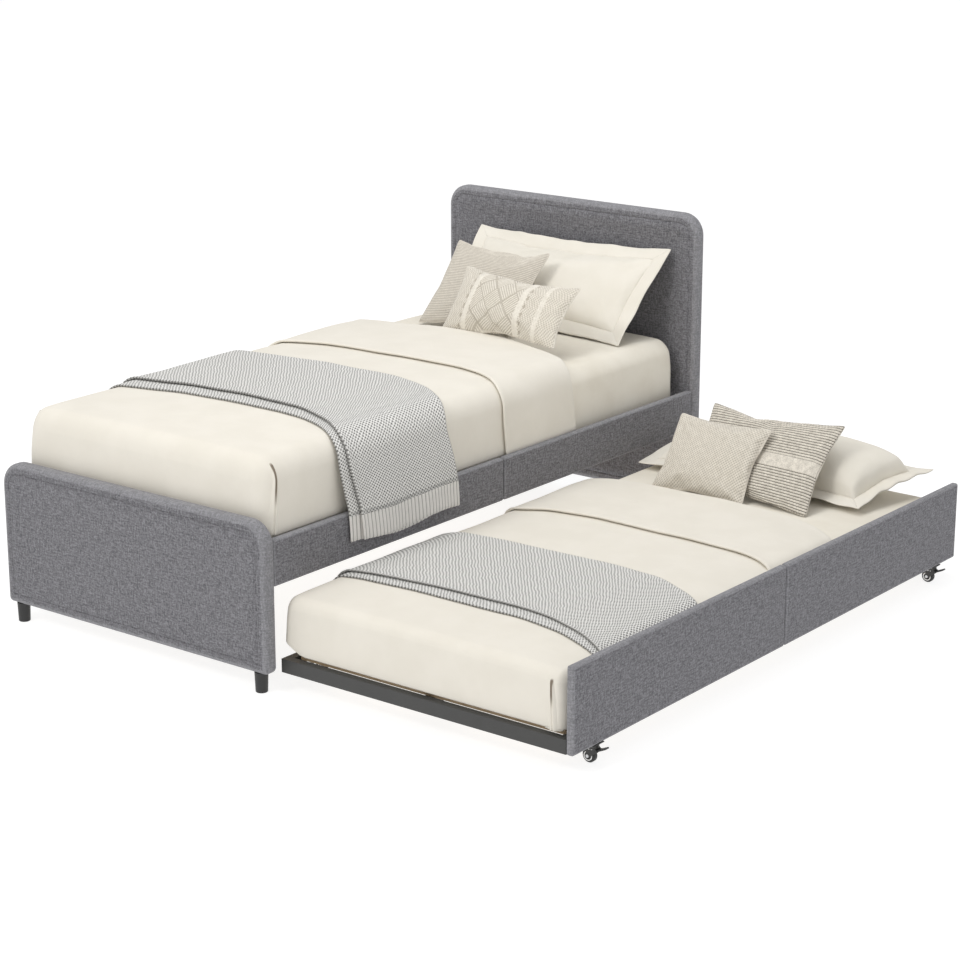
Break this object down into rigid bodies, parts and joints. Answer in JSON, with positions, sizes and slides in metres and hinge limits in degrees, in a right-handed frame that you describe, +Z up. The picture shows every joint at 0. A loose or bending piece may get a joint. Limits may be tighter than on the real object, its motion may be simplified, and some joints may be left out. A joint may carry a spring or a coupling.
{
  "type": "trundle bed",
  "caption": "Upholstered single bed with round-cornered headboard and footboard, and a low trundle bed on casters that pulls out from under one side; both made up with bedding.",
  "frame": {"origin": "on the floor, at the centre of the footprint of the whole object with the trundle pulled out", "axes": "+X to the side the trundle comes out of, +Y to the head end, +Z up"},
  "size_m": [1.998, 2.108, 1],
  "materials": {
    "linen": "heathered grey linen-look weave",
    "board_wood": "raw plywood",
    "black_plastic": "satin black plastic",
    "zinc_steel": "bright zinc plate",
    "slat_pine": "planed pine, unfinished",
    "webbing": "black polypropylene webbing",
    "sheet_cotton": "plain ivory cotton",
    "duvet_cotton": "plain ivory cotton, soft",
    "throw_knit": "light grey basket-stitch knit",
    "sham_cotton": "plain ivory cotton, flanged",
    "ribbed_knit": "oatmeal ribbed knit",
    "lumbar_weave": "oatmeal weave with diamond lattice and boucle ends",
    "striped_weave": "chunky rows of oatmeal yarn over a dark ground",
    "dotted_knit": "fine dotted oatmeal knit",
    "black_steel": "satin black powder coat",
    "wheel_black": "black tread"
  },
  "bodies": {
    "bed": {"headboard_core": "board_wood", "headboard_cover": "linen", "footboard_core": "board_wood", "footboard_cover": "linen", "leg_foot_wall": "black_plastic", "leg_foot_room": "black_plastic", "leg_head_wall": "black_plastic", "leg_head_room": "black_plastic", "rail_room_foot": "linen", "rail_room_head": "linen", "rail_wall_foot": "linen", "rail_wall_head": "linen", "rail_joiner_room": "zinc_steel", "rail_joiner_wall": "zinc_steel", "rail_brackets": "zinc_steel", "bracket_bolts": "zinc_steel", "rail_screws": "zinc_steel", "slat_ledge_room": "zinc_steel", "slat_ledge_wall": "zinc_steel", "bed_slats": "slat_pine", "slat_straps": "webbing", "mattress": "sheet_cotton", "duvet": "duvet_cotton", "throw": "throw_knit", "sham_pillow": "sham_cotton", "ribbed_cushion": "ribbed_knit", "lumbar_cushion": "lumbar_weave"},
    "trundle": {"trundle_panel_foot": "linen", "trundle_panel_head": "linen", "trundle_panel_joiner": "zinc_steel", "trundle_end_rail_foot": "black_steel", "trundle_end_rail_head": "black_steel", "trundle_front_rail": "black_steel", "trundle_back_rail": "black_steel", "trundle_center_rail": "black_steel", "trundle_slats": "slat_pine", "trundle_corner_brackets": "zinc_steel", "trundle_bolts": "zinc_steel", "caster_plates": "black_steel", "caster_kingpins": "zinc_steel", "trundle_mattress": "sheet_cotton", "trundle_duvet": "duvet_cotton", "trundle_throw": "throw_knit", "trundle_sham_pillow": "sham_cotton", "trundle_striped_cushion": "striped_weave", "trundle_knit_cushion": "dotted_knit"},
    "caster_1": {"fork_1": "black_steel", "axle_1": "zinc_steel"},
    "caster_1_wheel": {"wheel_1": "wheel_black"},
    "caster_1_brake": {"brake_pedal_1": "black_plastic"},
    "caster_2": {"fork_2": "black_steel", "axle_2": "zinc_steel"},
    "caster_2_wheel": {"wheel_2": "wheel_black"},
    "caster_2_brake": {"brake_pedal_2": "black_plastic"},
    "caster_3": {"fork_3": "black_steel", "axle_3": "zinc_steel"},
    "caster_3_wheel": {"wheel_3": "wheel_black"},
    "caster_4": {"fork_4": "black_steel", "axle_4": "zinc_steel"},
    "caster_4_wheel": {"wheel_4": "wheel_black"}
  },
  "joints": [
    {"name": "trundle_slide", "type": "slide", "parent": "bed", "child": "trundle", "axis": [1, 0, 0], "range_m": [-0.97, 0], "deforming": ["trundle_sham_pillow", "trundle_striped_cushion", "trundle_knit_cushion"]},
    {"name": "caster_1_swivel", "type": "hinge", "parent": "trundle", "child": "caster_1", "pos_m": [0.957, -0.887, 0.0455], "axis": [0, 0, 1], "continuous": true},
    {"name": "caster_1_roll", "type": "hinge", "parent": "caster_1", "child": "caster_1_wheel", "pos_m": [0.947, -0.887, 0.019], "axis": [0, 1, 0], "continuous": true},
    {"name": "caster_1_brake_press", "type": "hinge", "parent": "caster_1", "child": "caster_1_brake", "pos_m": [0.969, -0.887, 0.036], "axis": [0, 1, 0], "range_deg": [0, 18]},
    {"name": "caster_2_swivel", "type": "hinge", "parent": "trundle", "child": "caster_2", "pos_m": [0.957, 0.887, 0.0455], "axis": [0, 0, 1], "continuous": true},
    {"name": "caster_2_roll", "type": "hinge", "parent": "caster_2", "child": "caster_2_wheel", "pos_m": [0.947, 0.887, 0.019], "axis": [0, 1, 0], "continuous": true},
    {"name": "caster_2_brake_press", "type": "hinge", "parent": "caster_2", "child": "caster_2_brake", "pos_m": [0.969, 0.887, 0.036], "axis": [0, 1, 0], "range_deg": [0, 18]},
    {"name": "caster_3_swivel", "type": "hinge", "parent": "trundle", "child": "caster_3", "pos_m": [0.031, -0.849, 0.0455], "axis": [0, 0, 1], "continuous": true},
    {"name": "caster_3_roll", "type": "hinge", "parent": "caster_3", "child": "caster_3_wheel", "pos_m": [0.021, -0.849, 0.019], "axis": [0, 1, 0], "continuous": true},
    {"name": "caster_4_swivel", "type": "hinge", "parent": "trundle", "child": "caster_4", "pos_m": [0.031, 0.849, 0.0455], "axis": [0, 0, 1], "continuous": true},
    {"name": "caster_4_roll", "type": "hinge", "parent": "caster_4", "child": "caster_4_wheel", "pos_m": [0.021, 0.849, 0.019], "axis": [0, 1, 0], "continuous": true}
  ]
}
